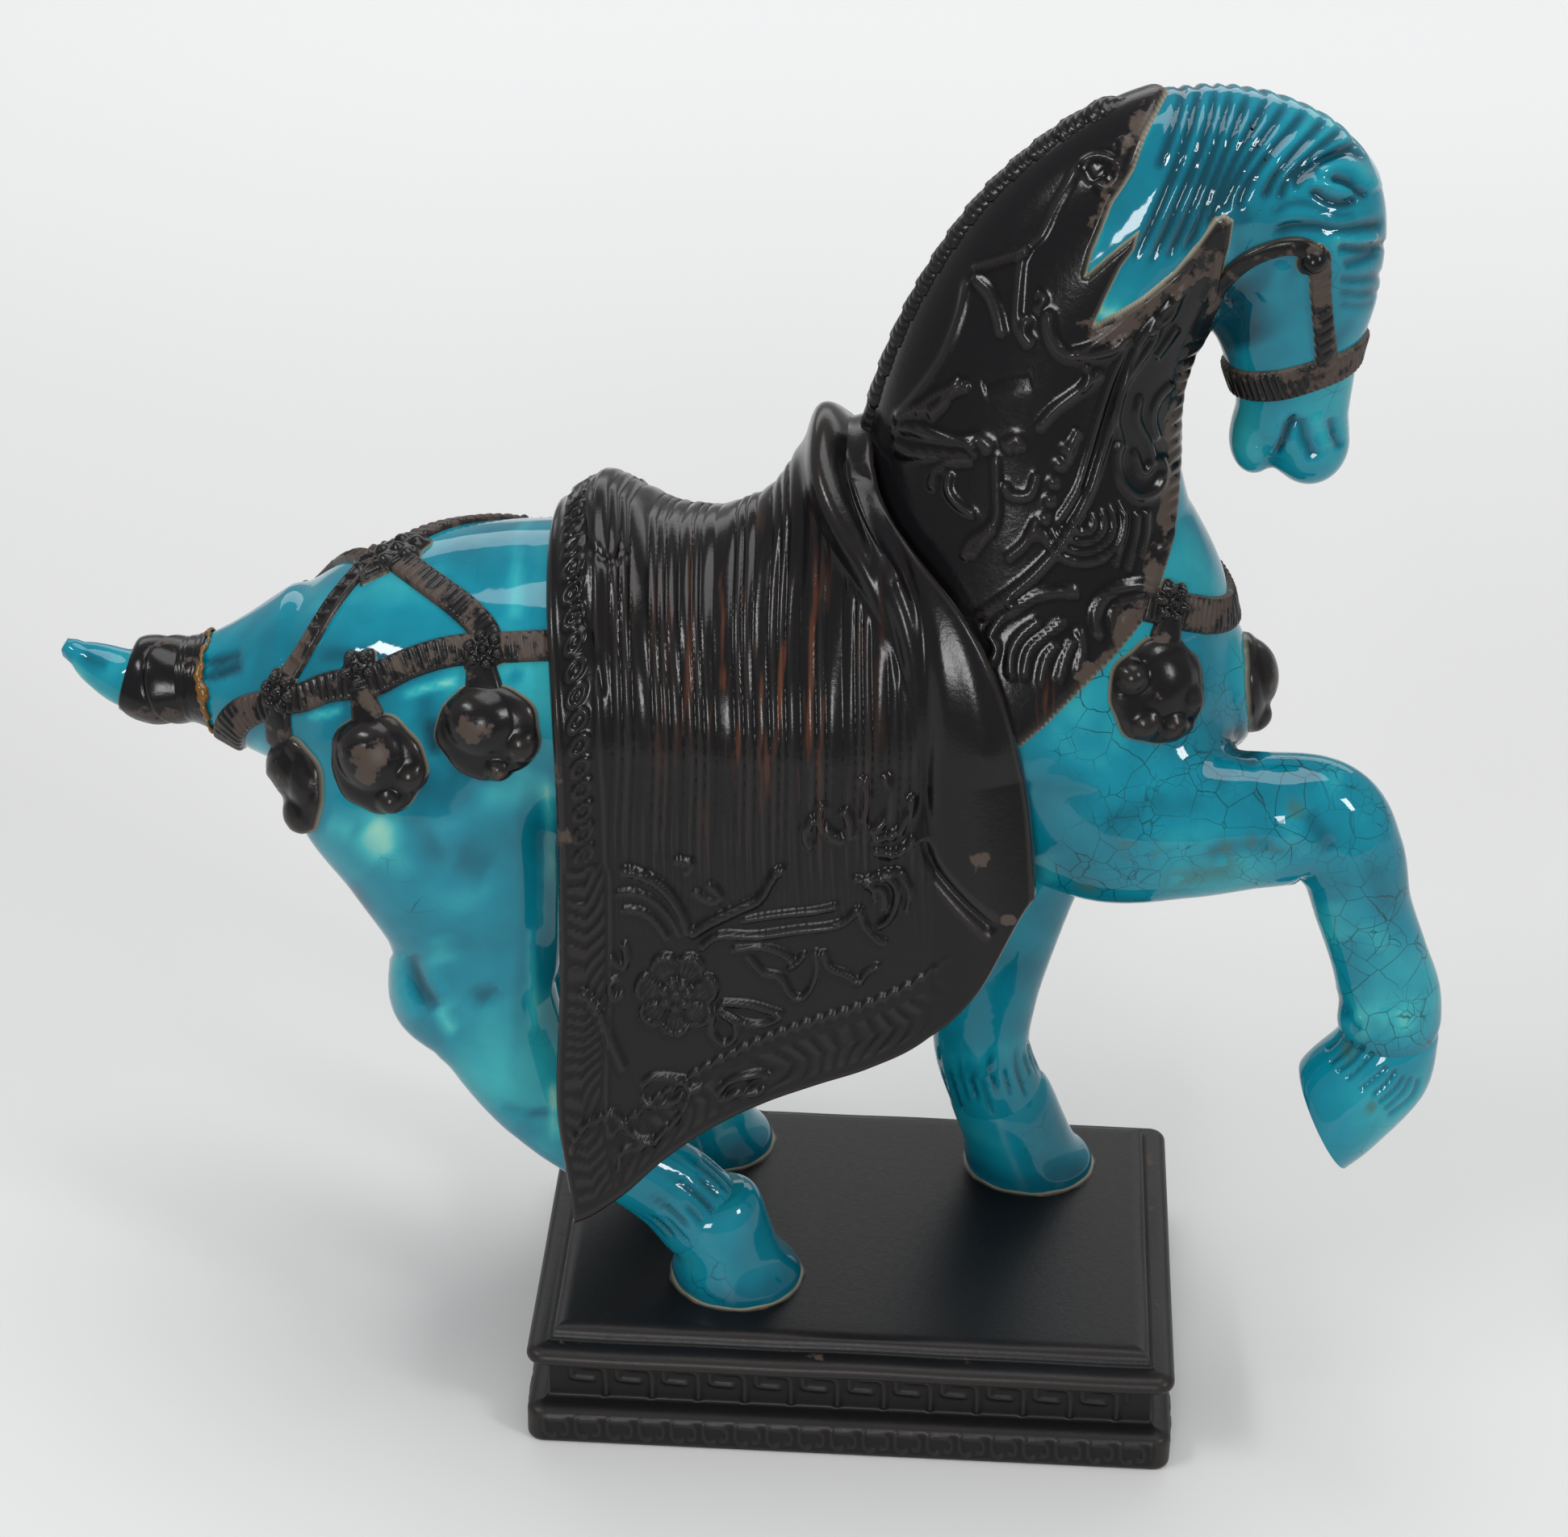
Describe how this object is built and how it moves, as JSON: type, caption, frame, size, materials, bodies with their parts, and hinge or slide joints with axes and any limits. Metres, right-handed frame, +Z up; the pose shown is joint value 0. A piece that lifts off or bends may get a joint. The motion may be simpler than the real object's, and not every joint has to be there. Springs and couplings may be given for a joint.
{
  "type": "horse figurine",
  "caption": "Glazed ceramic prancing horse figurine, head tucked and a foreleg raised, in a carved dark saddle cloth and neck cloth, on a moulded rectangular plinth with a key fret.",
  "frame": {"origin": "centre of the plinth's underside", "axes": "+Z up, +X towards the horse's head, -Y towards the side of the raised foreleg"},
  "size_m": [0.3641, 0.122, 0.3719],
  "materials": {
    "turquoise_glaze": "glossy crackled turquoise glaze, deeper where it pools",
    "black_biscuit": "satin brown-black unglazed ceramic, browner on worn edges"
  },
  "bodies": {
    "root": {"horse": "turquoise_glaze", "plinth": "black_biscuit"}
  },
  "joints": []
}
